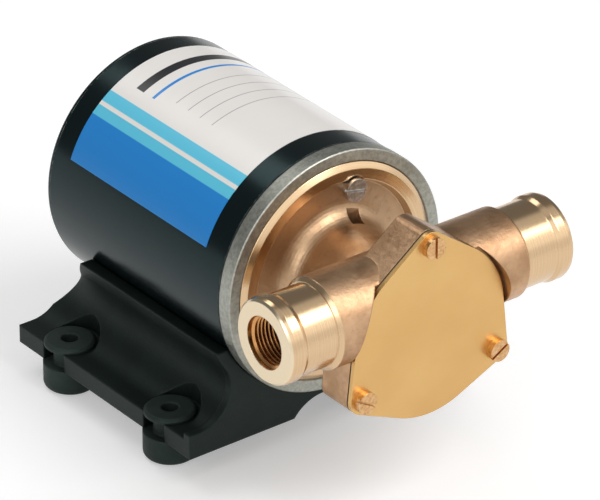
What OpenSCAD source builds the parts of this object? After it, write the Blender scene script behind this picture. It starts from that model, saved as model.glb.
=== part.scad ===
// Flexible impeller pump: a bronze pump head on a small direct-current motor, with a moulded base.
// Lengths are in millimetres. The origin is on the floor, midway between the four mounting holes.
// +Z is up, +X points out of the right port, and the end cover faces -Y.
// Places along the shaft are given forward of the mounting flange's face, so motor parts are negative.

/* [Layout] */
// Height of the motor can above the floor
can_stand = 19.5; // [17:0.1:30]
// Distance from the base's front face forward to the mounting flange's face
flange_lead = 5.95; // [5.2:0.05:9]

/* [Motor] */
// Outer diameter of the motor can
can_d = 79.6; // [76:0.1:90]
// Wall of the motor can
can_wall = 2; // [1.2:0.1:3]
// Length of the motor from the mounting flange's face to its rear face
motor_len = 94.5; // [90:0.5:120]
// Diameter of the shaft
shaft_d = 8; // [6:0.1:9]
// Thickness of a magnet
magnet_t = 8.6; // [7:0.1:12]
// Length of the armature core
core_len = 30; // [20:0.5:32]
// Number of slots in the armature core
core_slots = 12; // [6:1:16]
// Depth of an armature slot
slot_depth = 9; // [5:0.1:11]
// Width of an armature slot
slot_w = 5; // [2:0.1:6]
// Running gap between the armature core and the magnets
air_gap = 0.7; // [0.4:0.1:1.5]
// Half of the angle that one magnet spans
magnet_half_angle = 62; // [45:1:70]
// Diameter of the commutator
commutator_d = 19; // [17:0.1:21]
// Number of commutator bars
commutator_bars = 12; // [6:1:16]
// Width of a brush along the shaft
brush_w = 6; // [4:0.1:7]
// Thickness of a brush round the shaft
brush_t = 5; // [3:0.1:6]
// Length of a new brush
brush_len = 9; // [7:0.1:11]

/* [Mounting flange] */
// Width of the mounting flange's rim round the recess
ring_rim = 4.1; // [3.9:0.1:8]
// Thickness of the mounting flange's rim
ring_t = 5; // [4:0.1:8]
// Depth of the recess that locates the pump body
recess_depth = 4; // [3:0.1:4.5]
// Thickness of the bell's web behind the recess
web_t = 5; // [4:0.1:7]

/* [Bearings] */
// Outer diameter of both ball bearings
bearing_d = 22; // [20:0.1:24]
// Width of both ball bearings
bearing_w = 7; // [6:0.1:8]
// Number of balls in a bearing
ball_count = 7; // [5:1:8]
// Diameter of a ball
ball_d = 3.97; // [3:0.01:4.2]

/* [Pump body] */
// Radius of the round part of the head
head_r = 28; // [27:0.1:32]
// Depth of the head behind the gasket
head_depth = 12; // [9:0.1:16]
// Radius of a screw lobe
lobe_r = 4.6; // [4:0.1:6]
// Radius of the cover screws' circle
lobe_pcr = 29; // [28:0.1:33]
// Distance from the mounting flange's face forward to the end cover's face
cover_fwd = 45.7; // [44:0.1:52]
// Thickness of the end cover
cover_t = 1.5; // [1:0.1:3]
// Thickness of the cover gasket
gasket_t = 0.5; // [0.3:0.1:1]
// Diameter of the pumping chamber
chamber_d = 40.8; // [38:0.1:42]
// Depth of the pumping chamber, up to the gasket
chamber_depth = 16; // [14:0.1:16.5]
// Radius of the neck behind the head
neck_r = 17.2; // [16:0.1:18]
// Radius of the flare that runs from the neck into the flange
flare_r = 6.5; // [2:0.1:8]
// Height of the lip round the flange
lip_h = 1; // [0.5:0.1:2]
// Angle of the body screws above the right-hand side
body_screw_angle = 77; // [60:1:88]
// Distance from the flange's edge in to the body screws
body_screw_in = 8.4; // [8:0.1:9]

/* [Ports] */
// Distance between the two port faces
port_span = 106.6; // [100:0.1:130]
// Height of the port axis above the shaft axis
port_rise = 10.1; // [9:0.1:10.5]
// Distance from the mounting flange's face forward to the port axis
port_fwd = 34.8; // [34:0.1:36]
// Outer diameter of the cast port tube
tube_d = 29; // [28:0.1:31]
// Outer diameter of the machined hose neck
neck_d = 26; // [24:0.1:27]
// Outer diameter of the hose neck's bead
bead_d = 27.5; // [26.5:0.1:28.5]
// Length of the machined hose neck
hose_len = 17.3; // [14:0.1:22]
// Major diameter of the port thread
thread_d = 16.66; // [14:0.01:18]
// Depth of the port thread
thread_len = 14; // [10:0.1:16]
// Diameter of the passage into the chamber
passage_d = 12.4; // [10:0.1:13]

/* [Impeller] */
// Number of blades
blades = 6; // [5:1:8]
// Radius of the rubber hub
hub_r = 10.8; // [9.5:0.1:12]
// Thickness of a blade at its root
blade_root_t = 3; // [2:0.1:3.6]
// Thickness of a blade behind its tip
blade_tip_t = 1.8; // [1.2:0.1:2.4]
// Radius of the bulb along a blade's tip
bulb_r = 1.5; // [1.3:0.1:2]
// Angle of the first blade at rest
blade_phase = 14; // [0:1:59]
// Height of the cam above the chamber wall
cam_h = 3.6; // [2:0.1:4.5]
// Half of the angle that the cam spans
cam_half_angle = 34; // [28:1:36]

/* [Base] */
// Width of a wing outside the sweep
wing_w = 5.1; // [4.5:0.1:14]
// Length of the base along the shaft
base_len = 89.3; // [80:0.1:91]
// Thickness of the wings
wing_t = 6.1; // [4.5:0.1:8]
// Wall of the saddle
saddle_wall = 4; // [3:0.1:5]
// Distance from the shaft axis down to the saddle's lip
lip_drop = 17.5; // [12:0.1:24]
// Radius of the sweep from the saddle into the wings
sweep_r = 12; // [8:0.1:13]
// Lean of the saddle's rear edge from upright
rear_lean = 38.5; // [20:0.5:45]
// Distance from the base's sides in to the mounting holes
hole_in_x = 6.2; // [5.5:0.05:7]
// Distance from the base's ends in to the mounting holes
hole_in_y = 18.45; // [16:0.05:22]

/* [Grommet feet] */
// Diameter of a grommet
foot_d = 17; // [15:0.1:18]
// Height of the wings above the floor
foot_stand = 8.7; // [6:0.1:12]
// Diameter of the hole through a grommet
foot_hole_d = 5.5; // [4:0.1:6.5]
// Diameter of a grommet's waist
foot_waist_d = 10.4; // [9:0.1:12]

/* [Label] */
// Thickness of the label
label_t = 0.12; // [0.08:0.01:0.18]
// Distance from the mounting flange's face back to the label
label_back = 15; // [10:0.5:25]
// Length of the label along the motor
label_len = 69.5; // [50:0.5:73]
// Angle of the label's right edge above the right-hand side
label_right_angle = 20; // [0:1:60]
// Angle of the label's left edge above the right-hand side
label_left_angle = 159; // [120:1:175]

/* [Hidden] */
$fn = 96;

// Shared clearances and the overrun of cuts
fit_gap = 0.05;
slip_gap = 0.1;
seat_gap = 0.2;
side_gap = 0.3;
over = 1;

// Places that follow from the can and the base
can_r = can_d / 2;
axis_h = can_stand + can_r;
flange_fwd = base_len / 2 + flange_lead;
deck_h = foot_stand + wing_t;
seat_r = can_r + seat_gap;
saddle_r = seat_r + saddle_wall;
base_half = sweep_x(deck_h) + wing_w;
hole_pitch_x = 2 * (base_half - hole_in_x);
hole_pitch_y = base_len - 2 * hole_in_y;

// Motor
bore_r = can_r - can_wall;
ring_proud = 0.2;
ring_r = can_r + ring_proud;
recess_r = ring_r - ring_rim;
shaft_r = shaft_d / 2;
can_seal_t = 0.8;
can_front = -ring_t - can_seal_t;
cap_rim = 2;
cap_t = 3.5;
cap_back = -motor_len;
cap_front = cap_back + cap_t;
can_back = cap_back + cap_rim;
cap_edge_r = 1.6;
edge_steps = 6;
web_back = -recess_depth - web_t;
boss_wall = 4;
edge_chamfer = 0.35;
shoulder_t = 1;
boss_r = bearing_d / 2 + slip_gap + boss_wall;
front_bearing_back = web_back - bearing_w - shoulder_t;
front_bearing_front = front_bearing_back + bearing_w;
washer_space = 1.8;
land_share = 0.36;
cage_share = 0.7;
race_r = (bearing_d / 2 + shaft_r) / 2;
land_half = ball_d * land_share;
rear_bearing_back = cap_front + washer_space;
rear_bearing_front = rear_bearing_back + bearing_w;
bell_hole_play = 2.6;
bell_hole_r = shaft_r + bell_hole_play;

// Armature, laid out back from the front bearing
magnet_in_r = bore_r - magnet_t;
core_r = magnet_in_r - air_gap;
winding_front_len = 6;
winding_rear_len = 5.5;
winding_clear = 2.5;
core_front = front_bearing_back - winding_clear - winding_front_len;
core_back = core_front - core_len;
winding_back = core_back - winding_rear_len;
core_hub_wall = 4;
hub_core_r = shaft_r + core_hub_wall;
tooth_tip = 2;
slot_mouth = 2;
winding_inset = 1;
winding_outset = 3;
winding_in_r = hub_core_r + winding_inset;
winding_out_r = core_r - winding_outset;
commutator_r = commutator_d / 2;
commutator_len = 13;
commutator_back = winding_back - commutator_len;
riser_rise = 1.5;
riser_r = commutator_r + riser_rise;
riser_len = 2;
bar_gap = 0.6;
bar_gap_depth = 0.8;
magnet_overhang = 3;

// Brush gear
brush_place = 6;
brush_mid = commutator_back + brush_place;
brush_gap = 0.15;
box_wall = 0.8;
box_clear = 0.15;
box_stand = 2.5;
box_in_r = commutator_r + box_stand;
brush_out_r = commutator_r + brush_gap + brush_len;
spring_space = 7.85;
box_out_r = brush_out_r + spring_space;
card_t = 2;
card_front = brush_mid - brush_w / 2 - box_clear - box_wall;
card_in_r = box_in_r;
card_clear = 1.5;
card_out_r = bore_r - card_clear;
post_r = 3.5;
post_in = 9.8;
post_pcr = bore_r - post_in;
post_angles = [60, 120, 240, 300];
spring_wire_d = 0.5;
spring_turns = 5;
spring_r = brush_t / 2 - spring_wire_d;
spring_sides = 6;
spring_steps = 12;
spring_gap = 0.1;

// Motor fasteners and lead gland
bolt_r = 2;
bolt_in = 4.4;
bolt_pcr = bore_r - bolt_in;
bolt_head_r = 3.8;
bolt_head_h = 2.6;
bolt_angles = [90, 270];
bolt_bite = 3.6;
gland_angle = -38;
gland_in = 10.8;
gland_pcr = bore_r - gland_in;
gland_neck_r = 4.6;
gland_flange_r = 6.4;
gland_flange_t = 1.6;
gland_lip = 1;
lead_r = 1.5;
lead_pitch = 3.8;

// Pump body
cover_back = cover_fwd - cover_t;
head_front = cover_back - gasket_t;
head_back = head_front - head_depth;
chamber_r = chamber_d / 2;
chamber_back = head_front - chamber_depth;
flange_r = recess_r - slip_gap;
flange_back = -recess_depth;
lip_band = 5.3;
lip_edge = 1.8;
lip_in_r = flange_r - lip_band;
lip_out_r = flange_r - lip_edge;
body_screw_pcr = flange_r - body_screw_in;
lip_chamfer = 1.2;
dish_depth = 1.5;
flare_steps = 10;
chamber_wall = 2.6;
chamber_floor = 5.7;
chamber_taper = 4.8;
slinger_space_r = 12;
slinger_space_front = 12.5;
seal_d = 16;
seal_w = 5;
seal_r = seal_d / 2;
seal_front = slinger_space_front + seal_w;
shaft_play = 0.6;
body_hole_r = shaft_r + shaft_play;
lobe_angles = [90, 210, 330];
screw_r = 2;
screw_hole_depth = 9;
cover_head_r = 3.5;
cover_head_h = 2.4;
driver_slot_w = 0.9;
driver_slot_depth = 1.2;
proud_clear = 0.9;
body_bolt_r = 2.4;
body_head_r = 3.75;
body_head_h = 4;
spot_play = 0.6;
spot_r = body_head_r + spot_play;
body_bolt_bite = 4;
drain_angle = 70;
drain_w = 5;
drain_back = -0.6;
drain_len = 4.6;

// Ports
tube_r = tube_d / 2;
hose_r = neck_d / 2;
bead_r = bead_d / 2;
passage_r = passage_d / 2;
thread_r = thread_d / 2;
shoulder_chamfer = 1.2;
bead_len = 3;
bead_back = 3.4;
face_chamfer = 0.7;
passage_share = 0.5;
passage_end_x = chamber_r * passage_share;

// Impeller
tip_gap = 0.15;
blade_root_r = hub_r - blade_root_t / 2;
blade_spare = 0.12;
blade_len = chamber_r - tip_gap - bulb_r - blade_root_r + blade_spare;
bulb_spread = 4;
insert_r = 7;
insert_slot_depth = 4.4;
pin_r = 1.5;
pin_half_len = 6.4;
impeller_back = chamber_back + side_gap;
impeller_front = cover_back - side_gap;
pin_fwd = impeller_back + insert_slot_depth - pin_r - slip_gap;
shaft_short = 1.5;
shaft_front = impeller_front - shaft_short;
cam_ramp = 17;
cam_step = 2;
blade_steps = 9;
bulb_steps = 14;

// Label
label_lift = 0.02;

// Base
rib_t = 2.6;
end_wall_t = 3;
ridge_h = 2;
arch_half = 11;
arch_h = 5.4;
rib_count = 3;
hollow_wall = 3;
cell_len = (base_len - 2 * end_wall_t - rib_count * rib_t) / (rib_count + 1);
base_bolt_y = base_len / 2 - end_wall_t - cell_len / 2;
pocket_play = 1;
pocket_r = foot_d / 2 + pocket_play;
waist_gap = 0.2;
base_bolt_r = 2.4;
base_head_r = 4.4;
base_head_h = 2.6;
base_bolt_tip = 1.4;
rear_rise = 3;
foot_r = foot_d / 2;
foot_edge_r = 2;
foot_cap_t = 1.6;
foot_cap_inset = 0.4;
foot_cap_r = foot_r - foot_cap_inset;
arc_steps = 24;

// Moves to the shaft axis, forward of the mounting flange's face, with local Z pointing forward
module on_axis(fwd = 0) {
    translate([0, -flange_fwd - fwd, axis_h]) rotate([90, 0, 0]) children();
}

// Moves to a radius and angle round the shaft axis
module at_angle(angle, radius, fwd = 0) {
    on_axis(fwd) rotate([0, 0, angle]) translate([radius, 0, 0]) children();
}

// Moves to the port axis with local Z pointing out of one port
module on_port(side) {
    translate([0, -flange_fwd - port_fwd, axis_h + port_rise]) rotate([0, side * 90, 0]) children();
}

// A straight ring or disc round the shaft, from back to front
module ring_solid(back, front, outer, inner) {
    on_axis(back) difference() {
        cylinder(h = front - back, r = outer);
        translate([0, 0, -over]) cylinder(h = front - back + 2 * over, r = inner);
    }
}

// Outline shared by the head, the gasket and the end cover
module head_outline() {
    hull() {
        circle(r = head_r);
        for (a = lobe_angles) rotate(a) translate([lobe_pcr, 0]) circle(r = lobe_r, $fn = 32);
    }
}

// Radius of the chamber wall at an angle, with the cam at the top
function smooth(t) = let (u = max(0, min(1, t))) u * u * (3 - 2 * u);
function off_top(a) = abs(((a - 90 + 540) % 360) - 180);
function wall_at(a) = chamber_r - cam_h * smooth((cam_half_angle - off_top(a)) / cam_ramp);

// Centre line of a blade bent through an angle of k degrees, as a point at share s of its length
function bend_point(k, s) = let (u = k * s, q = blade_len * 180 / (PI * k))
    [blade_root_r + q * sin(u), q * (1 - cos(u))];
function bend_reach(k) = norm(bend_point(k, 1));
function bend_lag(k) = let (p = bend_point(k, 1)) atan2(p[1], p[0]);
function wall_near(a) = min(wall_at(a - bulb_spread), wall_at(a), wall_at(a + bulb_spread));
function bend_excess(k, root) = bend_reach(k) + bulb_r + tip_gap - wall_near(root + bend_lag(k));
function bend_for(root, low = 4, high = 150, n = 24) = let (mid = (low + high) / 2)
    n == 0 ? mid : bend_excess(mid, root) > 0 ? bend_for(root, mid, high, n - 1)
    : bend_for(root, low, mid, n - 1);

// Pump head

module end_cover() {
    color([0.84, 0.67, 0.43]) on_axis(cover_back) difference() {
        linear_extrude(cover_t) head_outline();
        for (a = lobe_angles) rotate([0, 0, a]) translate([lobe_pcr, 0, -over])
            cylinder(h = cover_t + 2 * over, r = screw_r + seat_gap);
    }
}

module cover_gasket() {
    color([0.25, 0.2, 0.15]) on_axis(head_front) difference() {
        linear_extrude(gasket_t) head_outline();
        translate([0, 0, -over]) cylinder(h = gasket_t + 2 * over, r = chamber_r);
        for (a = lobe_angles) rotate([0, 0, a]) translate([lobe_pcr, 0, -over])
            cylinder(h = gasket_t + 2 * over, r = screw_r + seat_gap);
    }
}

// A slotted cheese-head screw whose head sits on the plane z = 0 and whose shank runs down
module slotted_screw(shank_r, shank_len, head_radius, head_h, slot_w, slot_depth) {
    difference() {
        union() {
            translate([0, 0, -shank_len]) cylinder(h = shank_len + head_h / 2, r = shank_r);
            cylinder(h = head_h, r = head_radius);
        }
        translate([-slot_w / 2, -head_radius - over, head_h - slot_depth])
            cube([slot_w, 2 * head_radius + 2 * over, slot_depth + over]);
    }
}

module cover_screws() {
    color([0.8, 0.6, 0.35]) for (a = lobe_angles) at_angle(a, lobe_pcr, cover_fwd)
        rotate([0, 0, a]) slotted_screw(screw_r, cover_t + gasket_t + screw_hole_depth - over,
            cover_head_r, cover_head_h, driver_slot_w, driver_slot_depth);
}

// The flange, its flared neck and the round wall of the chamber, as radius and distance forward
module body_turning() {
    on_axis() rotate_extrude() polygon(concat(
        [[0, flange_back], [flange_r, flange_back], [flange_r, lip_h - lip_chamfer],
        [lip_out_r, lip_h], [lip_in_r, lip_h], [lip_in_r - lip_chamfer, -dish_depth]],
        [for (i = [0 : flare_steps]) let (a = 270 - 90 * i / flare_steps)
            [neck_r + flare_r * (1 + cos(a)), flare_r * (1 + sin(a)) - dish_depth]],
        [[neck_r, chamber_back - chamber_floor],
        [chamber_r + chamber_wall, chamber_back - chamber_floor + chamber_taper],
        [chamber_r + chamber_wall, head_front - over], [0, head_front - over]]
    ));
}

// The cast tube across the head, with a machined hose neck and bead at either end
module port_turning() {
    face = port_span / 2;
    shoulder = face - hose_len;
    half = [
        [tube_r, shoulder - shoulder_chamfer], [tube_r - shoulder_chamfer, shoulder],
        [hose_r, shoulder], [hose_r, face - bead_back - bead_len],
        [bead_r, face - bead_back - bead_len / 2], [bead_r, face - bead_back + bead_len / 2],
        [hose_r + face_chamfer / 2, face - face_chamfer], [hose_r - face_chamfer / 2, face]
    ];
    on_port(1) rotate_extrude() polygon(concat(
        [[0, -face]], [for (i = [len(half) - 1 : -1 : 0]) [half[i][0], -half[i][1]]],
        half, [[0, face]]
    ));
}

module port_cut(side) {
    face = port_span / 2;
    on_port(side) {
        translate([0, 0, passage_end_x]) cylinder(h = face - passage_end_x, r = passage_r);
        translate([0, 0, face - thread_len]) cylinder(h = thread_len + over, r = thread_r);
    }
}

module chamber_cut() {
    on_axis(chamber_back) linear_extrude(head_front - chamber_back + over) difference() {
        circle(r = chamber_r);
        cam_section();
    }
}

// The crescent that presses on the blades, between the ports
module cam_section() {
    from = 90 - cam_half_angle;
    to = 90 + cam_half_angle;
    polygon(concat(
        [for (a = [from : cam_step : to]) wall_at(a) * [cos(a), sin(a)]],
        [for (a = [to : -cam_step : from]) (chamber_r + over) * [cos(a), sin(a)]]
    ));
}

module pump_body() {
    color([0.78, 0.58, 0.42]) difference() {
        union() {
            body_turning();
            on_axis(head_back) linear_extrude(head_depth) head_outline();
            port_turning();
        }
        on_axis(head_front) cylinder(h = cover_fwd, r = head_r + proud_clear);
        chamber_cut();
        for (side = [-1, 1]) port_cut(side);
        on_axis(flange_back - over) cylinder(h = chamber_back - flange_back + 2 * over, r = body_hole_r);
        on_axis(flange_back - over) cylinder(h = seal_front - flange_back + over, r = seal_r + fit_gap);
        on_axis(flange_back - over)
            cylinder(h = slinger_space_front - flange_back + over, r = slinger_space_r);
        for (a = lobe_angles) at_angle(a, lobe_pcr, head_front - screw_hole_depth)
            cylinder(h = screw_hole_depth + over, r = screw_r + fit_gap);
        for (a = [body_screw_angle, body_screw_angle + 180]) {
            at_angle(a, body_screw_pcr, -dish_depth) cylinder(h = body_head_h + over, r = spot_r);
            at_angle(a, body_screw_pcr, flange_back - over)
                cylinder(h = recess_depth + 2 * over, r = body_bolt_r + seat_gap, $fn = 48);
        }
        for (a = [drain_angle, drain_angle + 180]) on_axis(drain_back) rotate([0, 0, a])
            translate([0, -drain_w / 2, 0]) cube([neck_r + flare_r, drain_w, drain_len]);
    }
}

module body_screws() {
    color([0.72, 0.71, 0.7]) for (a = [body_screw_angle, body_screw_angle + 180])
        at_angle(a, body_screw_pcr, -dish_depth)
            slotted_screw(body_bolt_r, recess_depth - dish_depth + body_bolt_bite, body_head_r,
                body_head_h, driver_slot_w, driver_slot_depth);
}

// One blade, drawn along +X from the hub and bent through k degrees
module blade_section(k) {
    notch = asin(blade_tip_t / (2 * bulb_r));
    last = 1 - bulb_r * cos(notch) / blade_len;
    turn = 2 * (180 - notch);
    side = [for (i = [0 : blade_steps]) let (s = last * i / blade_steps, t = blade_root_t
        + (blade_tip_t - blade_root_t) * i / blade_steps, p = bend_point(k, s), a = k * s)
        [p, [-sin(a), cos(a)] * t / 2]];
    polygon(concat(
        [for (i = [0 : blade_steps - 1]) side[i][0] + side[i][1]],
        [for (i = [0 : bulb_steps]) let (a = k + turn / 2 - turn * i / bulb_steps)
            bend_point(k, 1) + bulb_r * [cos(a), sin(a)]],
        [for (i = [blade_steps - 1 : -1 : 0]) side[i][0] - side[i][1]]
    ));
}

module impeller() {
    color([0.12, 0.12, 0.13]) on_axis(impeller_back) difference() {
        union() {
            cylinder(h = impeller_front - impeller_back, r = hub_r);
            for (i = [0 : blades - 1]) let (root = blade_phase + i * 360 / blades)
                rotate([0, 0, root]) linear_extrude(impeller_front - impeller_back)
                    blade_section(bend_for(root));
        }
        translate([0, 0, -over]) cylinder(h = chamber_depth + 2 * over, r = insert_r + fit_gap);
    }
}

module impeller_insert() {
    color([0.8, 0.65, 0.35]) on_axis(impeller_back) difference() {
        cylinder(h = impeller_front - impeller_back, r = insert_r);
        translate([0, 0, -over]) cylinder(h = chamber_depth + 2 * over, r = shaft_r + fit_gap);
        translate([-pin_half_len - slip_gap, -pin_r - slip_gap, -over])
            cube([2 * (pin_half_len + slip_gap), 2 * (pin_r + slip_gap), insert_slot_depth + over]);
    }
}

module drive_pin() {
    color([0.75, 0.75, 0.77]) on_axis(pin_fwd) translate([-pin_half_len, 0, 0])
        rotate([0, 90, 0]) cylinder(h = 2 * pin_half_len, r = pin_r, $fn = 32);
}

module shaft_seal() {
    lip = seal_w / 3;
    color([0.15, 0.15, 0.16]) on_axis(slinger_space_front) rotate_extrude() polygon([
        [seal_r, 0], [seal_r, seal_w], [seal_r - lip, seal_w], [shaft_r + lip, seal_w - lip],
        [shaft_r + fit_gap, seal_w - lip / 2], [shaft_r + fit_gap, lip], [shaft_r + lip, lip],
        [shaft_r + lip, 0]
    ]);
}

module slinger() {
    rim_clear = 2;
    hub_wall = 1.6;
    disc_t = 1.8;
    disc_r = slinger_space_r - rim_clear;
    hub = shaft_r + hub_wall;
    color([0.1, 0.1, 0.11]) on_axis(drain_back) rotate_extrude() polygon([
        [shaft_r + fit_gap, 0], [hub, 0], [hub, drain_len / 2], [disc_r, drain_len / 2],
        [disc_r, drain_len / 2 + disc_t], [hub, drain_len], [shaft_r + fit_gap, drain_len]
    ]);
}

// Motor

module shaft() {
    clip_back = front_bearing_front;
    clip_w = 1;
    groove_depth = 0.4;
    end_chamfer = 0.5;
    groove_r = shaft_r - groove_depth;
    color([0.78, 0.78, 0.8]) difference() {
        on_axis() rotate_extrude() polygon([
            [0, rear_bearing_back], [shaft_r, rear_bearing_back], [shaft_r, clip_back],
            [groove_r, clip_back], [groove_r, clip_back + clip_w], [shaft_r, clip_back + clip_w],
            [shaft_r, shaft_front - end_chamfer], [shaft_r - end_chamfer, shaft_front], [0, shaft_front]
        ]);
        on_axis(pin_fwd) translate([-shaft_d, 0, 0]) rotate([0, 90, 0])
            cylinder(h = 2 * shaft_d, r = pin_r + fit_gap, $fn = 32);
    }
}

module shaft_circlip() {
    clip_w = 0.8;
    clip_gap = 3;
    clip_rise = 1.5;
    clip_bite = 0.3;
    color([0.4, 0.4, 0.42]) on_axis(front_bearing_front + slip_gap) difference() {
        cylinder(h = clip_w, r = shaft_r + clip_rise);
        translate([0, 0, -over]) cylinder(h = clip_w + 2 * over, r = shaft_r - clip_bite);
        translate([0, -clip_gap / 2, -over]) cube([ring_r, clip_gap, clip_w + 2 * over]);
    }
}

module front_bell() {
    color([0.7, 0.69, 0.67]) difference() {
        on_axis() rotate_extrude() polygon([
            [bell_hole_r, -recess_depth], [recess_r, -recess_depth], [recess_r, -edge_chamfer],
            [recess_r + edge_chamfer, 0], [ring_r - edge_chamfer, 0], [ring_r, -edge_chamfer],
            [ring_r, -ring_t], [bore_r - slip_gap, -ring_t], [bore_r - slip_gap, web_back],
            [boss_r, web_back], [boss_r, front_bearing_back], [bearing_d / 2 + fit_gap,
            front_bearing_back], [bearing_d / 2 + fit_gap, front_bearing_front],
            [bell_hole_r, front_bearing_front]
        ]);
        for (a = bolt_angles) at_angle(a, bolt_pcr, web_back - over)
            cylinder(h = bolt_bite + over, r = bolt_r + fit_gap, $fn = 48);
        for (a = [body_screw_angle, body_screw_angle + 180])
            at_angle(a, body_screw_pcr, web_back - over)
                cylinder(h = web_t + 2 * over, r = body_bolt_r + fit_gap, $fn = 48);
    }
}

module can_gasket() {
    color([0.08, 0.08, 0.08]) ring_solid(can_front, -ring_t, can_r, bore_r);
}

module motor_can() {
    color([0.06, 0.07, 0.07]) difference() {
        ring_solid(can_back, can_front, can_r, bore_r);
        for (y = [-1, 1]) translate([0, y * base_bolt_y, 0])
            cylinder(h = axis_h, r = base_bolt_r + fit_gap, $fn = 48);
    }
}

module rear_cap() {
    color([0.06, 0.07, 0.07]) difference() {
        union() {
            on_axis() rotate_extrude() polygon(concat(
                [[0, cap_back]],
                [for (i = [0 : edge_steps]) let (a = -90 + 90 * i / edge_steps)
                    [can_r - cap_edge_r + cap_edge_r * cos(a), cap_back + cap_edge_r * (1 + sin(a))]],
                [[can_r, can_back], [bore_r - slip_gap, can_back], [bore_r - slip_gap, cap_front],
                [boss_r, cap_front], [boss_r, rear_bearing_front],
                [bearing_d / 2 + fit_gap, rear_bearing_front], [bearing_d / 2 + fit_gap, cap_front],
                [0, cap_front]]
            ));
            for (a = post_angles) at_angle(a, post_pcr, cap_front - over)
                cylinder(h = card_front - card_t - cap_front + over, r = post_r, $fn = 32);
        }
        for (a = bolt_angles) at_angle(a, bolt_pcr, cap_back - over)
            cylinder(h = cap_t + 2 * over, r = bolt_r + seat_gap, $fn = 48);
        at_angle(gland_angle, gland_pcr, cap_back - over)
            cylinder(h = cap_t + 2 * over, r = gland_neck_r + fit_gap, $fn = 48);
    }
}

module through_bolts() {
    len = web_back + bolt_bite - slip_gap - cap_back;
    color([0.75, 0.75, 0.76]) for (a = bolt_angles) at_angle(a, bolt_pcr, cap_back) {
        cylinder(h = len, r = bolt_r, $fn = 48);
        translate([0, 0, -bolt_head_h]) cylinder(h = bolt_head_h, r = bolt_head_r, $fn = 6);
    }
}

module lead_grommet() {
    color([0.1, 0.1, 0.1]) at_angle(gland_angle, gland_pcr, cap_back) difference() {
        union() {
            translate([0, 0, -gland_flange_t]) cylinder(h = gland_flange_t, r = gland_flange_r);
            cylinder(h = cap_t, r = gland_neck_r);
            translate([0, 0, cap_t]) cylinder(h = gland_flange_t, r = gland_neck_r + gland_lip);
        }
        for (side = [-1, 1]) translate([0, side * lead_pitch / 2, -gland_flange_t - over])
            cylinder(h = cap_t + 2 * gland_flange_t + 2 * over, r = lead_r, $fn = 32);
    }
}

// Ball bearing, from its back face, split into the rings and the balls in their cage
module race_groove(back) {
    on_axis(back + bearing_w / 2) rotate_extrude() translate([race_r, 0])
        circle(r = ball_d / 2 + fit_gap, $fn = 48);
}

module bearing_outer(back) {
    color([0.7, 0.7, 0.72]) difference() {
        ring_solid(back, back + bearing_w, bearing_d / 2, race_r + land_half);
        race_groove(back);
    }
}

module bearing_inner(back) {
    color([0.75, 0.75, 0.77]) difference() {
        ring_solid(back, back + bearing_w, race_r - land_half, shaft_r + fit_gap);
        race_groove(back);
    }
}

module bearing_cage(back) {
    cage_t = 0.8;
    cage_w = ball_d * cage_share;
    color([0.75, 0.6, 0.3]) {
        on_axis(back + bearing_w / 2) for (i = [0 : ball_count - 1])
            rotate([0, 0, i * 360 / ball_count]) translate([race_r, 0, 0])
                sphere(r = ball_d / 2, $fn = 48);
        ring_solid(back + bearing_w / 2 - cage_w / 2, back + bearing_w / 2 + cage_w / 2,
            race_r + cage_t / 2, race_r - cage_t / 2);
    }
}

// A ring that waves three times round the shaft, between the rear bearing and the cap
module wave_washer() {
    t = 0.4;
    waves = 3;
    steps = 60;
    high = (washer_space - t) / 2 - slip_gap;
    inset = 0.5;
    inner = race_r + land_half - inset;
    outer = bearing_d / 2 - seat_gap;
    ring = [for (i = [0 : steps - 1]) let (a = i * 360 / steps, z = high * cos(waves * a))
        each [[inner * cos(a), inner * sin(a), z - t / 2], [outer * cos(a), outer * sin(a), z - t / 2],
        [outer * cos(a), outer * sin(a), z + t / 2], [inner * cos(a), inner * sin(a), z + t / 2]]];
    faces = [for (i = [0 : steps - 1], j = [0 : 3]) let (n = (i + 1) % steps, k = (j + 1) % 4)
        each [[4 * i + j, 4 * n + j, 4 * n + k], [4 * i + j, 4 * n + k, 4 * i + k]]];
    color([0.6, 0.6, 0.62]) on_axis(cap_front + washer_space / 2) polyhedron(ring, faces);
}

// Laminated core with one slot per coil side, each slot with a narrow mouth
module core_section(inner) {
    difference() {
        circle(r = core_r);
        circle(r = inner);
        for (i = [0 : core_slots - 1]) rotate(i * 360 / core_slots) {
            translate([core_r - tooth_tip - slot_depth, -slot_w / 2]) square([slot_depth, slot_w]);
            translate([core_r - slot_depth, -slot_mouth / 2]) square([slot_depth + over, slot_mouth]);
        }
    }
}

module armature_core() {
    color([0.45, 0.45, 0.47]) on_axis(core_back) linear_extrude(core_len)
        core_section(shaft_r + fit_gap);
}

// End turns at both ends of the core, joined by the coil sides in the slots
module armature_windings() {
    side_w = slot_w - 2 * slip_gap;
    side_depth = slot_depth - 2 * slip_gap;
    color([0.72, 0.4, 0.2]) {
        ring_solid(core_front, core_front + winding_front_len, winding_out_r, winding_in_r);
        ring_solid(core_back - winding_rear_len, core_back, winding_out_r, winding_in_r);
        for (i = [0 : core_slots - 1]) on_axis(core_back - over) rotate([0, 0, i * 360 / core_slots])
            translate([core_r - tooth_tip - slot_depth + slip_gap, -side_w / 2, 0])
                cube([side_depth, side_w, core_len + 2 * over]);
    }
}

module commutator() {
    color([0.72, 0.45, 0.25]) on_axis(commutator_back) difference() {
        union() {
            cylinder(h = commutator_len - slip_gap, r = commutator_r);
            translate([0, 0, commutator_len - riser_len]) cylinder(h = riser_len - slip_gap, r = riser_r);
        }
        translate([0, 0, -over]) cylinder(h = commutator_len + 2 * over, r = shaft_r + fit_gap);
        for (i = [0 : commutator_bars - 1]) rotate([0, 0, (i + 0.5) * 360 / commutator_bars])
            translate([commutator_r - bar_gap_depth, -bar_gap / 2, -over])
                cube([riser_r, bar_gap, commutator_len + 2 * over]);
    }
}

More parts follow.
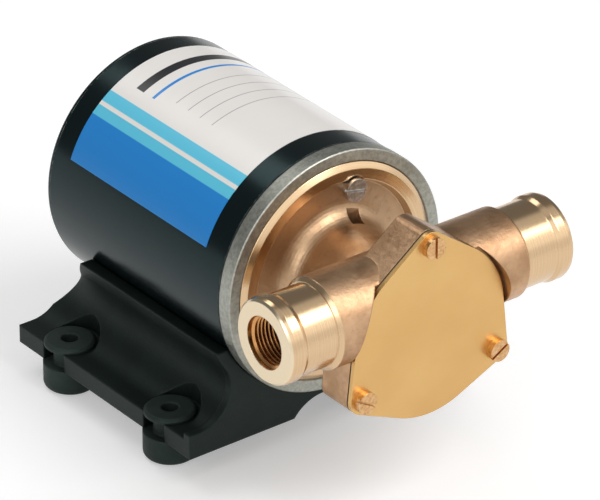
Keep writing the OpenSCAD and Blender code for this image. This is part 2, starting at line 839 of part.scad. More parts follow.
module magnet(side) {
    reach = 2 * ring_r;
    mid = side > 0 ? 0 : 180;
    len = core_len + 2 * magnet_overhang;
    color([0.22, 0.22, 0.24]) on_axis(core_back - magnet_overhang) linear_extrude(len)
        intersection() {
            difference() {
                circle(r = bore_r - fit_gap);
                circle(r = magnet_in_r);
            }
            rotate(mid) polygon([[0, 0], reach * [cos(magnet_half_angle), -sin(magnet_half_angle)],
                [2 * reach, 0], reach * [cos(magnet_half_angle), sin(magnet_half_angle)]]);
        }
}

// Brush gear, in a frame whose X runs out along one brush and whose Z points forward
module on_brush(side) {
    on_axis(brush_mid) rotate([0, 0, side > 0 ? 0 : 180]) children();
}

module brush_card() {
    color([0.45, 0.27, 0.14]) difference() {
        ring_solid(card_front - card_t, card_front, card_out_r, card_in_r);
        for (a = bolt_angles) at_angle(a, bolt_pcr, card_front - card_t - over)
            cylinder(h = card_t + 2 * over, r = bolt_r + over, $fn = 48);
    }
}

module brush_holders() {
    room_w = brush_w + 2 * box_clear;
    room_t = brush_t + 2 * box_clear;
    color([0.8, 0.65, 0.35]) for (side = [-1, 1]) on_brush(side) difference() {
        translate([box_in_r, -room_t / 2 - box_wall, -room_w / 2 - box_wall])
            cube([box_out_r - box_in_r, room_t + 2 * box_wall, room_w + 2 * box_wall]);
        translate([box_in_r - over, -room_t / 2, -room_w / 2])
            cube([box_out_r - box_in_r + over - box_wall, room_t, room_w]);
    }
}

module brush(side) {
    from = commutator_r + brush_gap;
    color([0.2, 0.2, 0.21]) on_brush(side) difference() {
        translate([from - brush_gap, -brush_t / 2, -brush_w / 2])
            cube([brush_len + brush_gap, brush_t, brush_w]);
        translate([0, 0, -brush_w]) cylinder(h = 2 * brush_w, r = from);
    }
}

// Coil spring along +X, one swept tube with a round of points for each step
module brush_spring(side) {
    from = brush_out_r + spring_gap + spring_wire_d / 2;
    to = box_out_r - box_wall - spring_gap - spring_wire_d / 2;
    steps = spring_turns * spring_steps;
    wire = spring_wire_d / 2;
    rings = [for (i = [0 : steps], j = [0 : spring_sides - 1])
        let (a = i * 360 / spring_steps, b = j * 360 / spring_sides, x = from + (to - from) * i / steps,
        r = spring_r + wire * cos(b)) [x + wire * sin(b), r * cos(a), r * sin(a)]];
    walls = [for (i = [0 : steps - 1], j = [0 : spring_sides - 1])
        let (k = (j + 1) % spring_sides, p = i * spring_sides, q = p + spring_sides)
        each [[p + j, q + k, q + j], [p + j, p + k, q + k]]];
    first = [for (j = [0 : spring_sides - 1]) spring_sides - 1 - j];
    last = [for (j = [0 : spring_sides - 1]) steps * spring_sides + j];
    color([0.7, 0.7, 0.72]) on_brush(side) polyhedron(rings, concat(walls, [first], [last]));
}

module label() {
    reach = 2 * ring_r;
    mid = (label_left_angle + label_right_angle) / 2;
    color([0.9, 0.9, 0.88]) on_axis(-label_back - label_len) linear_extrude(label_len) intersection() {
        difference() {
            circle(r = can_r + label_lift + label_t, $fn = 180);
            circle(r = can_r + label_lift, $fn = 180);
        }
        polygon([[0, 0], reach * [cos(label_right_angle), sin(label_right_angle)],
            reach * [cos(mid), sin(mid)] * 2, reach * [cos(label_left_angle), sin(label_left_angle)]]);
    }
}

// Base

function cell_start(i) = -base_len / 2 + end_wall_t + i * (cell_len + rib_t);

// Distance out to the centre of the sweep that touches the saddle and wings of the given height
function sweep_x(deck) = sqrt(pow(saddle_r + sweep_r, 2) - pow(axis_h - deck - sweep_r, 2));

// Cross-section of the base over the floor, with wings as high as the given deck
module base_section(deck) {
    sweep_z = deck + sweep_r;
    centre_x = sweep_x(deck);
    tangent = atan2(axis_h - sweep_z, -centre_x);
    lip_angle = -asin(lip_drop / saddle_r);
    wall_angle = tangent - 180;
    half = concat(
        [[base_half, foot_stand], [base_half, deck]],
        [for (i = [0 : arc_steps]) let (a = 270 + (tangent - 270) * i / arc_steps)
            [centre_x + sweep_r * cos(a), sweep_z + sweep_r * sin(a)]],
        [for (i = [1 : arc_steps]) let (a = wall_angle + (lip_angle - wall_angle) * i / arc_steps)
            [saddle_r * cos(a), axis_h + saddle_r * sin(a)]]
    );
    difference() {
        polygon(concat(half, [for (i = [len(half) - 1 : -1 : 0]) [-half[i][0], half[i][1]]]));
        translate([0, axis_h]) circle(r = seat_r, $fn = 180);
    }
}

// Space under the saddle, between the side walls and under the cradle
module base_hollow() {
    inner = sweep_x(deck_h) - sweep_r - hollow_wall;
    difference() {
        translate([-inner, foot_stand - over]) square([2 * inner, axis_h - foot_stand]);
        translate([0, axis_h]) circle(r = saddle_r, $fn = 180);
    }
}

// The hollow's cells between the ribs, kept clear of the leaning rear edge
module base_cells() {
    difference() {
        for (i = [0 : rib_count]) translate([0, cell_start(i) + cell_len, 0]) rotate([90, 0, 0])
            linear_extrude(cell_len) base_hollow();
        translate([0, -end_wall_t / cos(rear_lean), 0]) rear_cut();
    }
}

// Removes what stands behind the leaning rear edge of the saddle
module rear_cut() {
    low = deck_h + rear_rise;
    high = axis_h;
    translate([-base_half - over, 0, 0]) rotate([90, 0, 90]) linear_extrude(2 * (base_half + over)) polygon([
        [base_len / 2 + over, low], [base_len / 2, low],
        [base_len / 2 - (high - low) * tan(rear_lean), high], [base_len / 2 + over, high]
    ]);
}

// One pocket and slot for a grommet, on the side that the given sign names
module foot_cut(side) {
    translate([0, 0, deck_h]) cylinder(h = sweep_r, r = pocket_r);
    translate([0, 0, foot_stand - over]) {
        cylinder(h = wing_t + 2 * over, r = foot_waist_d / 2 + waist_gap);
        translate([side > 0 ? 0 : -base_half, -foot_waist_d / 2 - waist_gap, 0])
            cube([base_half, foot_waist_d + 2 * waist_gap, wing_t + 2 * over]);
    }
}

module base() {
    arch_r = (pow(arch_half, 2) + pow(arch_h, 2)) / (2 * arch_h);
    color([0.11, 0.14, 0.14]) difference() {
        union() {
            translate([0, base_len / 2, 0]) rotate([90, 0, 0])
                linear_extrude(base_len - end_wall_t) base_section(deck_h);
            translate([0, -base_len / 2 + end_wall_t, 0]) rotate([90, 0, 0])
                linear_extrude(end_wall_t) base_section(deck_h + ridge_h);
        }
        base_cells();
        translate([0, -base_len / 2 - over, foot_stand + arch_h - arch_r]) rotate([-90, 0, 0])
            cylinder(h = base_len + 2 * over, r = arch_r);
        rear_cut();
        for (x = [-1, 1], y = [-1, 1]) translate([x * hole_pitch_x / 2, y * hole_pitch_y / 2, 0])
            foot_cut(x);
        for (y = [-1, 1]) translate([0, y * base_bolt_y, 0])
            cylinder(h = axis_h, r = base_bolt_r + seat_gap, $fn = 48);
    }
}

// Screws up through the cradle into the can's tapped holes
module base_screws() {
    head_top = axis_h - saddle_r;
    tip = axis_h - bore_r + base_bolt_tip;
    color([0.6, 0.6, 0.62]) for (y = [-1, 1]) translate([0, y * base_bolt_y, 0]) {
        translate([0, 0, head_top - base_head_h]) difference() {
            cylinder(h = base_head_h, r = base_head_r);
            translate([0, 0, -over]) cylinder(h = over + base_head_h / 2, r = base_head_r / 2, $fn = 6);
        }
        translate([0, 0, head_top - base_head_h / 4])
            cylinder(h = tip - head_top + base_head_h / 4, r = base_bolt_r, $fn = 48);
    }
}

// A rubber spool: foot under the wing, waist in the slot and cap in the pocket
module foot(x, y) {
    cap_top = deck_h + foot_cap_t;
    cap_edge = foot_cap_t / 2;
    hole = foot_hole_d / 2;
    color([0.24, 0.27, 0.25]) translate([x * hole_pitch_x / 2, y * hole_pitch_y / 2, 0])
        rotate_extrude() polygon(concat(
            [[hole, 0]],
            [for (i = [0 : edge_steps]) let (a = -90 + 90 * i / edge_steps)
                [foot_r - foot_edge_r + foot_edge_r * cos(a), foot_edge_r * (1 + sin(a))]],
            [[foot_r, foot_stand], [foot_waist_d / 2, foot_stand], [foot_waist_d / 2, deck_h],
            [foot_cap_r, deck_h], [foot_cap_r, cap_top - cap_edge], [foot_cap_r - cap_edge, cap_top],
            [hole, cap_top]]
        ));
}

end_cover();
cover_gasket();
cover_screws();
pump_body();
body_screws();
impeller();
impeller_insert();
drive_pin();
shaft_seal();
slinger();
shaft();
shaft_circlip();
front_bell();
can_gasket();
motor_can();
rear_cap();
through_bolts();
lead_grommet();
bearing_outer(front_bearing_back);  // front_bearing_outer
bearing_inner(front_bearing_back);  // front_bearing_inner
bearing_cage(front_bearing_back);  // front_bearing_cage
bearing_outer(rear_bearing_back);  // rear_bearing_outer
bearing_inner(rear_bearing_back);  // rear_bearing_inner
bearing_cage(rear_bearing_back);  // rear_bearing_cage
wave_washer();
armature_core();
armature_windings();
commutator();
magnet(-1);  // magnet_left
magnet(1);  // magnet_right
brush_card();
brush_holders();
brush(-1);  // brush_left
brush(1);  // brush_right
brush_spring(-1);  // brush_spring_left
brush_spring(1);  // brush_spring_right
label();
base();
base_screws();
foot(-1, -1);  // foot_front_left
foot(1, -1);  // foot_front_right
foot(-1, 1);  // foot_rear_left
foot(1, 1);  // foot_rear_right
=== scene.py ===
"""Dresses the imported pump: materials for every CAD node, port threads, brush springs and the studio."""

import math

import bpy
from mathutils import Matrix, Vector


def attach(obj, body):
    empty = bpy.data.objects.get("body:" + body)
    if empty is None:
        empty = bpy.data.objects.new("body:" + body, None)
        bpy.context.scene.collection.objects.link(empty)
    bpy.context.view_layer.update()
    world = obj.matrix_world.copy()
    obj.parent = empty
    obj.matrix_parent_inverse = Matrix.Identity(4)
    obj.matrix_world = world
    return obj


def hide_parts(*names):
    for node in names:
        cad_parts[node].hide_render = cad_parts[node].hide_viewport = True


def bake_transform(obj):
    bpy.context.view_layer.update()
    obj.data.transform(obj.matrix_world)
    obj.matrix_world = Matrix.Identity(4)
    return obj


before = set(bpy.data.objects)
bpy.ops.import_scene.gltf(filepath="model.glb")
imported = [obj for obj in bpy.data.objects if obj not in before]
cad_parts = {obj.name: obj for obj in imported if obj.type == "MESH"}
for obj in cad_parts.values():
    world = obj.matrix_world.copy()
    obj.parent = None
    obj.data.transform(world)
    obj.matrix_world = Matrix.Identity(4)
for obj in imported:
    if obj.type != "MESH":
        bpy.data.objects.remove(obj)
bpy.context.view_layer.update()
scene = bpy.context.scene

# Places in metres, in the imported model's frame: the shaft's height, the grey ring's front, and the
# ports' axis, with the distance of their faces from the middle
AXIS_H = 0.0593
RING_Y = -0.0506
PORT_Y = -0.0854
PORT_Z = 0.0694
PORT_X = 0.0533


def srgb(*levels):
    """An 8-bit display colour as linear light."""
    shares = [level / 255 for level in levels]
    return tuple(c / 12.92 if c <= 0.04045 else ((c + 0.055) / 1.055) ** 2.4 for c in shares)


# Camera, from the fit of the photograph

AZIMUTH, ELEVATION = math.radians(-37.51), math.radians(29.36)
DISTANCE = 1.67315
AIM_RIGHT, AIM_UP = -0.01067, 0.00642
FOCAL_PIXELS = 5558.87
IMAGE_WIDTH = 600
SENSOR_WIDTH = 36


def make_camera():
    flat = math.cos(ELEVATION)
    back = Vector((math.sin(AZIMUTH) * flat, -math.cos(AZIMUTH) * flat, math.sin(ELEVATION)))
    right = Vector((math.cos(AZIMUTH), math.sin(AZIMUTH), 0))
    up = back.cross(right)
    aim = Vector((0, RING_Y, AXIS_H)) + right * AIM_RIGHT + up * AIM_UP
    data = bpy.data.cameras.new("camera")
    data.sensor_width = SENSOR_WIDTH
    data.lens = FOCAL_PIXELS / IMAGE_WIDTH * SENSOR_WIDTH
    data.clip_start, data.clip_end = 0.1, 20
    cam = bpy.data.objects.new("camera", data)
    turn = Matrix((right, up, back)).transposed().to_4x4()
    cam.matrix_world = Matrix.Translation(aim + back * DISTANCE) @ turn
    scene.collection.objects.link(cam)
    scene.camera = cam


# Small helpers for shader nodes


class Nodes:
    """Builds a node tree, with helpers that take sockets or plain values."""

    def __init__(self, owner, place):
        owner.use_nodes = True
        self.nt = owner.node_tree
        self.pos = self.node("ShaderNodeTexCoord").outputs[place]

    def node(self, kind, **props):
        n = self.nt.nodes.new(kind)
        for k, v in props.items():
            setattr(n, k, v)
        return n

    def put(self, socket, value):
        if isinstance(value, bpy.types.NodeSocket):
            self.nt.links.new(value, socket)
        elif isinstance(value, (tuple, list)) and len(value) == 3 and len(socket.default_value) == 4:
            socket.default_value = (*value, 1)
        else:
            socket.default_value = value

    def math(self, op, a, b=0.0, clamp=False):
        n = self.node("ShaderNodeMath", operation=op, use_clamp=clamp)
        self.put(n.inputs[0], a)
        self.put(n.inputs[1], b)
        return n.outputs[0]

    def xyz(self, vector=None):
        n = self.node("ShaderNodeSeparateXYZ")
        self.put(n.inputs[0], vector or self.pos)
        return n.outputs

    def combine(self, x=0.0, y=0.0, z=0.0):
        n = self.node("ShaderNodeCombineXYZ")
        for i, v in enumerate((x, y, z)):
            self.put(n.inputs[i], v)
        return n.outputs[0]

    def step(self, value, low, high):
        """0 below low, 1 above high, smooth between them."""
        n = self.node("ShaderNodeMapRange", interpolation_type="SMOOTHSTEP")
        self.put(n.inputs["Value"], value)
        n.inputs["From Min"].default_value = low
        n.inputs["From Max"].default_value = high
        return n.outputs[0]

    def band(self, value, low, high, soft):
        a = self.step(value, low - soft, low + soft)
        b = self.step(value, high - soft, high + soft)
        return self.math("SUBTRACT", a, b, True)

    def mix(self, share, a, b):
        n = self.node("ShaderNodeMix", data_type="RGBA")
        self.put(n.inputs["Factor"], share)
        self.put(n.inputs[6], a)
        self.put(n.inputs[7], b)
        return n.outputs[2]

    def blend(self, share, a, b):
        n = self.node("ShaderNodeMix", data_type="FLOAT")
        self.put(n.inputs["Factor"], share)
        self.put(n.inputs[2], a)
        self.put(n.inputs[3], b)
        return n.outputs[0]

    def noise(self, scale, detail=3.0, rough=0.5, vector=None, stretch=None):
        n = self.node("ShaderNodeTexNoise")
        v = vector or self.pos
        if stretch:
            m = self.node("ShaderNodeVectorMath", operation="MULTIPLY")
            self.put(m.inputs[0], v)
            m.inputs[1].default_value = stretch
            v = m.outputs[0]
        self.put(n.inputs["Vector"], v)
        n.inputs["Scale"].default_value = scale
        n.inputs["Detail"].default_value = detail
        n.inputs["Roughness"].default_value = rough
        return n.outputs["Fac"]

    def seen(self):
        """1 for rays that show the background as such, else 0."""
        path = self.node("ShaderNodeLightPath").outputs
        mirror = self.math("MAXIMUM", path["Is Glossy Ray"], path["Is Transmission Ray"])
        return self.math("MAXIMUM", path["Is Camera Ray"], mirror)

    def radius(self, centre, axis):
        """Distance from a line through centre along X, Y or Z."""
        m = self.node("ShaderNodeVectorMath", operation="SUBTRACT")
        self.put(m.inputs[0], self.pos)
        m.inputs[1].default_value = centre
        x, y, z = self.xyz(m.outputs[0])
        flat = {"X": (0.0, y, z), "Y": (x, 0.0, z), "Z": (x, y, 0.0)}[axis]
        n = self.node("ShaderNodeVectorMath", operation="LENGTH")
        self.put(n.inputs[0], self.combine(*flat))
        return n.outputs["Value"]


class Shader(Nodes):
    """One principled material."""

    def __init__(self, name, color=(0.8, 0.8, 0.8), rough=0.5, metal=0.0, **inputs):
        self.mat = bpy.data.materials.new(name)
        super().__init__(self.mat, "Object")
        self.bsdf = self.nt.nodes["Principled BSDF"]
        self.set("Base Color", color)
        self.set("Roughness", rough)
        self.set("Metallic", metal)
        for k, v in inputs.items():
            self.set(k.replace("_", " "), v)
        self.normal = None

    def set(self, name, value):
        self.put(self.bsdf.inputs[name], value)

    def bump(self, height, depth, share=1.0):
        n = self.node("ShaderNodeBump")
        self.put(n.inputs["Height"], height)
        self.put(n.inputs["Strength"], share)
        n.inputs["Distance"].default_value = depth
        if self.normal:
            self.put(n.inputs["Normal"], self.normal)
        self.normal = n.outputs[0]
        self.set("Normal", self.normal)

    def soften(self, radius):
        """Rounds the look of sharp edges."""
        n = self.node("ShaderNodeBevel", samples=6)
        n.inputs["Radius"].default_value = radius
        self.normal = n.outputs[0]
        self.set("Normal", self.normal)

    def edges(self):
        """1 on the edges that soften() has rounded, 0 elsewhere."""
        dot = self.node("ShaderNodeVectorMath", operation="DOT_PRODUCT")
        self.put(dot.inputs[0], self.normal)
        self.put(dot.inputs[1], self.node("ShaderNodeNewGeometry").outputs["Normal"])
        return self.step(self.math("SUBTRACT", 1.0, dot.outputs["Value"]), 0.01, 0.12)


def give(shader, *nodes):
    for n in nodes:
        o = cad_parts[n]
        o.data.materials.clear()
        o.data.materials.append(shader.mat)


# Materials

# Where the casting's surfaces change, each over a short distance
TAIL_STARTS_X = (0.0346, 0.0350)
PORT_FACE_X = (0.0524, 0.0528)
RIM_STARTS_R = (0.0290, 0.0296)
RIM_STARTS_Y = (-0.0522, -0.0519)
DISH_STARTS_Y = (-0.066, -0.058)


def cast_bronze():
    """Rough casting, with its hose tails and the flange's rim turned bright."""
    s = Shader("cast_bronze", metal=1.0)
    s.soften(0.0005)
    x, y, _ = s.xyz()
    out = s.math("ABSOLUTE", x)
    shaft_r = s.radius((0, 0, AXIS_H), "Y")
    tail = s.step(out, *TAIL_STARTS_X)
    rim = s.math("MULTIPLY", s.step(shaft_r, *RIM_STARTS_R), s.step(y, *RIM_STARTS_Y), True)
    turned = s.math("MAXIMUM", tail, rim)
    blotch = s.noise(90, 4, 0.6)
    fine = s.noise(700, 3, 0.6)
    rough_cast = s.mix(s.step(blotch, 0.35, 0.65), srgb(172, 136, 103), srgb(200, 163, 128))
    tarnish = s.step(s.noise(24, 3, 0.6), 0.48, 0.72)
    # Painted light: the dished face towards the flange gets a paler, less coppery tone than the rest of
    # the same casting, offsetting the darker, redder look that light bouncing in the hollow gives it.
    painted_dish_tone = s.math("MULTIPLY", s.step(y, *DISH_STARTS_Y), s.math("SUBTRACT", 1.0, tail), True)
    rough_cast = s.mix(painted_dish_tone, rough_cast, srgb(184, 154, 122))
    rough_cast = s.mix(s.math("MULTIPLY", tarnish, 0.4), rough_cast, srgb(146, 110, 80))
    pits = s.math("MULTIPLY", s.step(fine, 0.55, 0.8), 0.35)
    rough_cast = s.mix(pits, rough_cast, srgb(134, 98, 72))
    along = s.blend(tail, s.math("MULTIPLY", shaft_r, 1500.0), s.math("MULTIPLY", x, 2600.0))
    rings = s.noise(1, 2, 0.5, s.combine(along))
    bright = s.mix(s.step(rings, 0.35, 0.65), srgb(207, 175, 137), srgb(215, 186, 149))
    # Painted highlight: the ports' end faces and the last bit of each tail get a paler tone than the rest
    # of the turned bronze.
    bright = s.mix(s.step(out, *PORT_FACE_X), bright, srgb(226, 208, 178))
    s.set("Base Color", s.mix(turned, rough_cast, bright))
    s.set("Roughness", s.blend(turned, s.math("ADD", s.math("MULTIPLY", fine, 0.2), 0.30), 0.2))
    s.bump(s.noise(520, 4, 0.65), 0.00022, s.blend(turned, 0.6, 0.02))
    s.bump(s.noise(140, 2, 0.5), 0.0006, s.blend(turned, 0.25, 0.0))
    s.bump(rings, 0.00002, s.math("MULTIPLY", turned, 0.25))
    give(s, "pump_body")


def cover_plate():
    """Rolled sheet with a faint brushed grain."""
    s = Shader("cover_plate", metal=1.0)
    s.soften(0.0003)
    haze = s.noise(45, 3, 0.5)
    brushed = s.noise(60, 3, 0.6, stretch=(1, 1, 60))
    color = s.mix(s.step(haze, 0.3, 0.7), srgb(211, 169, 108), srgb(217, 177, 116))
    s.set("Base Color", color)
    s.set("Roughness", s.math("ADD", s.math("MULTIPLY", brushed, 0.18), 0.28))
    s.bump(brushed, 0.00003, 0.35)
    s.bump(s.noise(500, 3, 0.6), 0.00008, 0.15)
    give(s, "end_cover")


def turned_metal(name, low, high, rough, *nodes, depth=0.00004):
    """A small metal part, between two colours in a fine grain."""
    s = Shader(name, metal=1.0, rough=rough)
    s.soften(0.0002)
    grain = s.noise(900, 3, 0.6)
    s.set("Base Color", s.mix(s.step(grain, 0.35, 0.65), srgb(*low), srgb(*high)))
    s.set("Roughness", s.math("ADD", s.math("MULTIPLY", grain, 0.15), rough))
    s.bump(grain, depth, 0.15)
    give(s, *nodes)


def bell_metal():
    """Grey die casting with stains and fine lathe rings."""
    s = Shader("bell_metal", metal=1.0)
    s.soften(0.0003)
    r = s.radius((0, 0, AXIS_H), "Y")
    _, y, _ = s.xyz()
    lathe = s.combine(s.math("MULTIPLY", r, 2400.0), s.math("MULTIPLY", y, 2400.0))
    rings = s.noise(1, 2, 0.6, lathe)
    grain = s.noise(900, 3, 0.6)
    clean = s.mix(s.step(grain, 0.3, 0.7), srgb(150, 152, 143), srgb(178, 178, 169))
    stain = s.math("MULTIPLY", s.step(s.noise(28, 4, 0.6), 0.46, 0.66), 0.55)
    s.set("Base Color", s.mix(stain, clean, srgb(122, 116, 100)))
    s.set("Roughness", s.math("ADD", s.math("MULTIPLY", grain, 0.2), 0.36))
    s.bump(rings, 0.00005, 0.35)
    s.bump(grain, 0.0001, 0.35)
    give(s, "front_bell")


def can_paint():
    """Gloss paint, paler in spots along its edges: partly chipped paint, partly a painted edge highlight.
    """
    s = Shader("can_paint", rough=0.22, Specular_IOR_Level=0.32, Specular_Tint=(0.38, 0.78, 0.82))
    s.soften(0.0004)
    edges = s.edges()
    s.bump(s.noise(260, 2, 0.5), 0.00008, 0.25)
    s.bump(s.noise(35, 2, 0.5), 0.0004, 0.2)
    paint = s.mix(s.noise(30, 3, 0.6), srgb(6, 11, 12), srgb(12, 19, 20))
    # Partly wear, partly a painted highlight: the edges turn pale grey in spots.
    paint_wear_and_edge_highlight = s.math("MULTIPLY", edges, s.step(s.noise(420, 3, 0.6), 0.42, 0.6))
    s.set("Base Color", s.mix(paint_wear_and_edge_highlight, paint, srgb(120, 130, 128)))
    give(s, "motor_can", "rear_cap")


def moulded(name, low, high, rough, grain, depth, *nodes):
    """Rubber, plastic or another dull stuff, paler along its edges: partly scuffs, partly a painted edge
    highlight.
    """
    s = Shader(name, Specular_IOR_Level=0.3, Specular_Tint=(0.75, 1.0, 0.93))
    s.soften(0.0009)
    big = s.noise(55, 3, 0.6)
    fine = s.noise(grain, 3, 0.6)
    # Partly scuffing, partly a painted highlight: the edges turn paler in spots.
    scuffs_and_edge_highlight = s.math("MULTIPLY", s.edges(), s.math("MULTIPLY", fine, 0.8))
    color = s.mix(s.step(big, 0.3, 0.7), srgb(*low), srgb(*high))
    s.set("Base Color", s.mix(scuffs_and_edge_highlight, color, srgb(*(c + 22 for c in high))))
    s.set("Roughness", s.math("ADD", s.math("MULTIPLY", fine, 0.2), rough))
    s.bump(fine, depth, 0.4)
    give(s, *nodes)


def label_film():
    """White film with plain straight bands; nothing is written on it."""
    s = Shader("label_film", rough=0.32, Coat_Weight=0.25, Coat_Roughness=0.15)
    x, y, z = s.xyz()
    turn = s.math("ARCTAN2", s.math("SUBTRACT", z, AXIS_H), x)
    deg = s.math("MULTIPLY", turn, 180 / math.pi)
    white, cyan, blue = srgb(243, 239, 234), srgb(96, 206, 236), srgb(22, 138, 220)
    black, grey = srgb(30, 32, 34), srgb(150, 150, 152)
    color = s.mix(s.noise(60, 2, 0.5), white, srgb(238, 234, 230))
    color = s.mix(s.step(deg, 122.8, 123.2), color, cyan)
    color = s.mix(s.band(deg, 129, 131, 0.2), color, white)
    color = s.mix(s.step(deg, 135.8, 136.2), color, blue)
    # Each line's edges along the can in metres, the degrees between which it runs, and its colour
    lines = [(0.0225, 0.0262, 30, 116, black), (0.0170, 0.0182, 30, 116, blue)]
    lines += [(y0, y0 + 0.0003, 40, 112, grey) for y0 in (0.0090, 0.0030, -0.0030, -0.0090)]
    for low, high, first, last, paint in lines:
        bar = s.math("MULTIPLY", s.band(deg, first, last, 0.2), s.band(y, low, high, 0.0001))
        color = s.mix(bar, color, paint)
    s.set("Base Color", color)
    s.bump(s.noise(35, 2, 0.5), 0.0003, 0.12)
    give(s, "label")


def windings():
    """Varnished copper wire, wound in turns round the shaft."""
    s = Shader("copper_wire", metal=1.0, rough=0.3)
    r = s.radius((0, 0, AXIS_H), "Y")
    strands = s.noise(1, 1, 0.5, s.combine(s.math("MULTIPLY", r, 2600.0)))
    s.set("Base Color", s.mix(strands, srgb(150, 78, 44), srgb(206, 128, 84)))
    s.bump(strands, 0.0002, 0.6)
    give(s, "armature_windings")


def laminations():
    """Stacked steel sheets."""
    s = Shader("core_laminations", metal=1.0, rough=0.4)
    _, y, _ = s.xyz()
    sheets = s.noise(1, 0, 0.5, s.combine(s.math("MULTIPLY", y, 2000.0)))
    s.set("Base Color", s.mix(sheets, srgb(104, 106, 110), srgb(150, 152, 156)))
    s.bump(sheets, 0.0001, 0.5)
    give(s, "armature_core")


def all_materials():
    cast_bronze()
    cover_plate()
    bell_metal()
    can_paint()
    label_film()
    windings()
    laminations()
    turned_metal("screw_brass", (196, 150, 100), (218, 178, 130), 0.22,
                 "cover_screws", "impeller_insert", "brush_holders")
    turned_metal("zinc_steel", (176, 172, 168), (214, 210, 205), 0.25,
                 "body_screws", "through_bolts", "base_screws")
    turned_metal("bright_steel", (190, 192, 196), (214, 216, 220), 0.14, "shaft", "drive_pin")
    turned_metal("bearing_steel", (180, 182, 188), (206, 208, 214), 0.12, "front_bearing_outer",
                 "front_bearing_inner", "rear_bearing_outer", "rear_bearing_inner")
    turned_metal("cage_brass", (200, 160, 96), (222, 184, 120), 0.25,
                 "front_bearing_cage", "rear_bearing_cage")
    turned_metal("spring_steel", (120, 122, 128), (160, 162, 168), 0.25,
                 "wave_washer", "shaft_circlip", "brush_spring_left", "brush_spring_right")
    turned_metal("commutator_copper", (176, 100, 62), (206, 134, 94), 0.24, "commutator")
    turned_metal("ferrite", (52, 52, 56), (74, 74, 78), 0.5, "magnet_left", "magnet_right", depth=0.0001)
    moulded("base_plastic", (9, 15, 14), (18, 26, 23), 0.4, 1300, 0.00012, "base")
    moulded("foot_rubber", (30, 38, 35), (44, 54, 50), 0.5, 900, 0.0001,
            "foot_front_left", "foot_front_right", "foot_rear_left", "foot_rear_right")
    moulded("black_rubber", (22, 22, 23), (34, 34, 36), 0.5, 1500, 0.0001,
            "shaft_seal", "slinger", "can_gasket", "lead_grommet")
    moulded("impeller_rubber", (24, 24, 26), (36, 36, 38), 0.42, 900, 0.0001, "impeller")
    moulded("gasket_fibre", (50, 42, 32), (72, 60, 46), 0.7, 1600, 0.0001, "cover_gasket")
    moulded("card_board", (104, 62, 34), (130, 82, 48), 0.5, 1200, 0.0001, "brush_card")
    moulded("brush_carbon", (44, 44, 46), (60, 60, 62), 0.6, 1600, 0.0001, "brush_left", "brush_right")


# The ridge of each port's inner thread


def port_thread(side):
    """A helical ridge inside the port's plain hole, running in from its face."""
    wall, crest = 0.00831, 0.00750  # radii of the ridge's foot and top
    pitch, length, chamfer = 0.001337, 0.0138, 0.0003
    steps, fading = 64, 0.4  # points a turn, and the turns over which each end fades out
    # The ridge's section, as radii and distances along the port in pitches
    section = ((wall, -0.48), (crest, -0.08), (crest, 0.08), (wall, 0.48))
    n = int((length - pitch) / pitch * steps)
    verts, faces = [], []
    for i in range(n + 1):
        a = 2 * math.pi * i / steps
        mid = chamfer + pitch / 2 + pitch * i / steps
        fade = min(1, i / (steps * fading), (n - i) / (steps * fading))
        for radius, shift in section:
            r = wall + (radius - wall) * fade
            x = side * (PORT_X - mid - shift * pitch)
            verts.append((x, PORT_Y + r * math.cos(a), PORT_Z + r * math.sin(a)))
    for i in range(n):
        for j in range(4):
            k = (j + 1) % 4
            f = (4 * i + j, 4 * i + k, 4 * (i + 1) + k, 4 * (i + 1) + j)
            faces.append(f if side > 0 else f[::-1])
    faces += [(3, 2, 1, 0), (4 * n, 4 * n + 1, 4 * n + 2, 4 * n + 3)]
    name = "port_thread_right" if side > 0 else "port_thread_left"
    mesh = bpy.data.meshes.new(name)
    mesh.from_pydata(verts, [], faces)
    mesh.validate()
    for p in mesh.polygons:
        p.use_smooth = False
    o = bpy.data.objects.new(name, mesh)
    scene.collection.objects.link(o)
    s = Shader("thread_" + name[12:], srgb(206, 150, 92), 0.25, 1.0)
    s.set("Base Color", s.mix(s.noise(700, 3, 0.6), srgb(184, 124, 70), srgb(224, 172, 112)))
    mesh.materials.append(s.mat)
    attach(o, "housing")


# The brush springs, each as a piece of its own


def spring_coil(side):
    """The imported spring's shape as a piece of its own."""
    node = "brush_spring_" + side
    coil = bpy.data.objects.new("spring_coil_" + side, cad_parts[node].data.copy())
    scene.collection.objects.link(coil)
    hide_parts(node)
    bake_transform(coil)


# Floor, light and background


AMBIENT = 0.42
MIRRORED_SKY = 1.38
FLOOR_GLOW = 0.36
FLOOR_FADES = (0.16, 0.75)


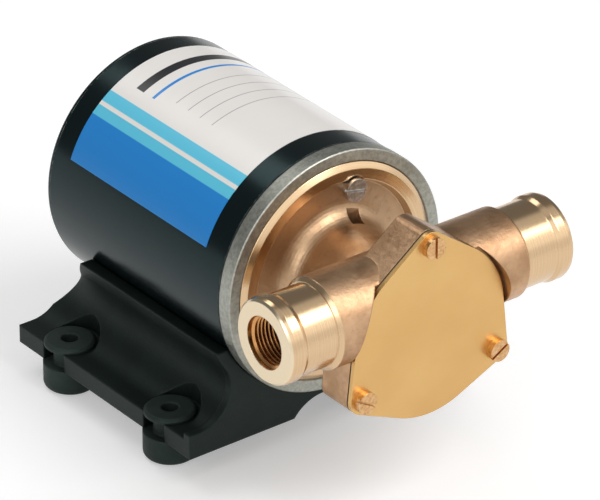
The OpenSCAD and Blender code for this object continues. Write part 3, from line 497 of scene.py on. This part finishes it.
def make_floor():
    """A pale floor that keeps the shadow, and turns into the white background with distance."""
    mesh = bpy.data.meshes.new("floor")
    h = 4.0
    mesh.from_pydata([(-h, -h, 0), (h, -h, 0), (h, h, 0), (-h, h, 0)], [], [(0, 1, 2, 3)])
    floor = bpy.data.objects.new("floor", mesh)
    scene.collection.objects.link(floor)
    s = Shader("floor", (0.8, 0.8, 0.8), 0.9, Specular_IOR_Level=0)
    seen = s.seen()
    glow = s.node("ShaderNodeEmission")
    s.put(glow.inputs["Strength"], s.math("MULTIPLY", seen, FLOOR_GLOW))
    near = s.node("ShaderNodeAddShader")
    s.put(near.inputs[0], s.bsdf.outputs[0])
    s.put(near.inputs[1], glow.outputs[0])
    far = s.node("ShaderNodeEmission")
    s.put(far.inputs["Strength"], s.blend(seen, AMBIENT, 1.0))
    both = s.node("ShaderNodeMixShader")
    s.put(both.inputs["Fac"], s.step(s.radius((0, 0, 0), "Z"), *FLOOR_FADES))
    s.put(both.inputs[1], near.outputs[0])
    s.put(both.inputs[2], far.outputs[0])
    s.put(s.nt.nodes["Material Output"].inputs["Surface"], both.outputs[0])
    mesh.materials.append(s.mat)


def make_world():
    """White for the camera, plain grey light, and two soft boxes over the front for reflections."""
    scene.world = bpy.data.worlds.new("world")
    w = Nodes(scene.world, "Generated")
    glossy = w.node("ShaderNodeLightPath").outputs["Is Glossy Ray"]
    _, y, z = w.xyz()
    rise = w.math("ARCTAN2", z, w.math("MULTIPLY", y, -1.0))
    ramp = w.node("ShaderNodeValToRGB")
    w.put(ramp.inputs["Fac"], w.math("DIVIDE", rise, math.pi))
    # Angles from the front horizon over the top, each with its level
    boxes = [(8, 0.72), (18, 1.0), (63, 1.0), (67, 0.22)]
    boxes += [(71, 0.22), (76, 0.48), (96, 0.48), (107, 0.15)]
    dots = ramp.color_ramp.elements
    while len(dots) < len(boxes):
        dots.new(0.5)
    for dot, (degrees, level) in zip(dots, boxes):
        dot.position = degrees / 180
        dot.color = (level, level, level, 1)
    sky = w.nt.nodes["Background"]
    w.put(sky.inputs["Color"], w.mix(glossy, (1, 1, 1), ramp.outputs[0]))
    w.put(sky.inputs["Strength"], w.blend(glossy, w.blend(w.seen(), AMBIENT, 1.0), MIRRORED_SKY))


def area(name, place, target, size, watts):
    data = bpy.data.lights.new(name, "AREA")
    data.shape = "DISK"
    data.size = size
    data.energy = watts
    o = bpy.data.objects.new(name, data)
    o.location = place
    o.rotation_euler = (Vector(target) - Vector(place)).to_track_quat("-Z", "Y").to_euler()
    scene.collection.objects.link(o)


make_camera()
all_materials()
port_thread(-1)
port_thread(1)
spring_coil("left")
spring_coil("right")
make_floor()
make_world()
area("key", (0.42, -0.85, 1.15), (0, -0.03, 0.05), 0.9, 10)
area("fill", (-1.1, -0.5, 0.75), (0, 0, 0.05), 0.7, 2.5)
area("top", (-0.1, 0.7, 1.1), (0, 0, 0.05), 0.6, 2)
scene.view_settings.view_transform = "Standard"
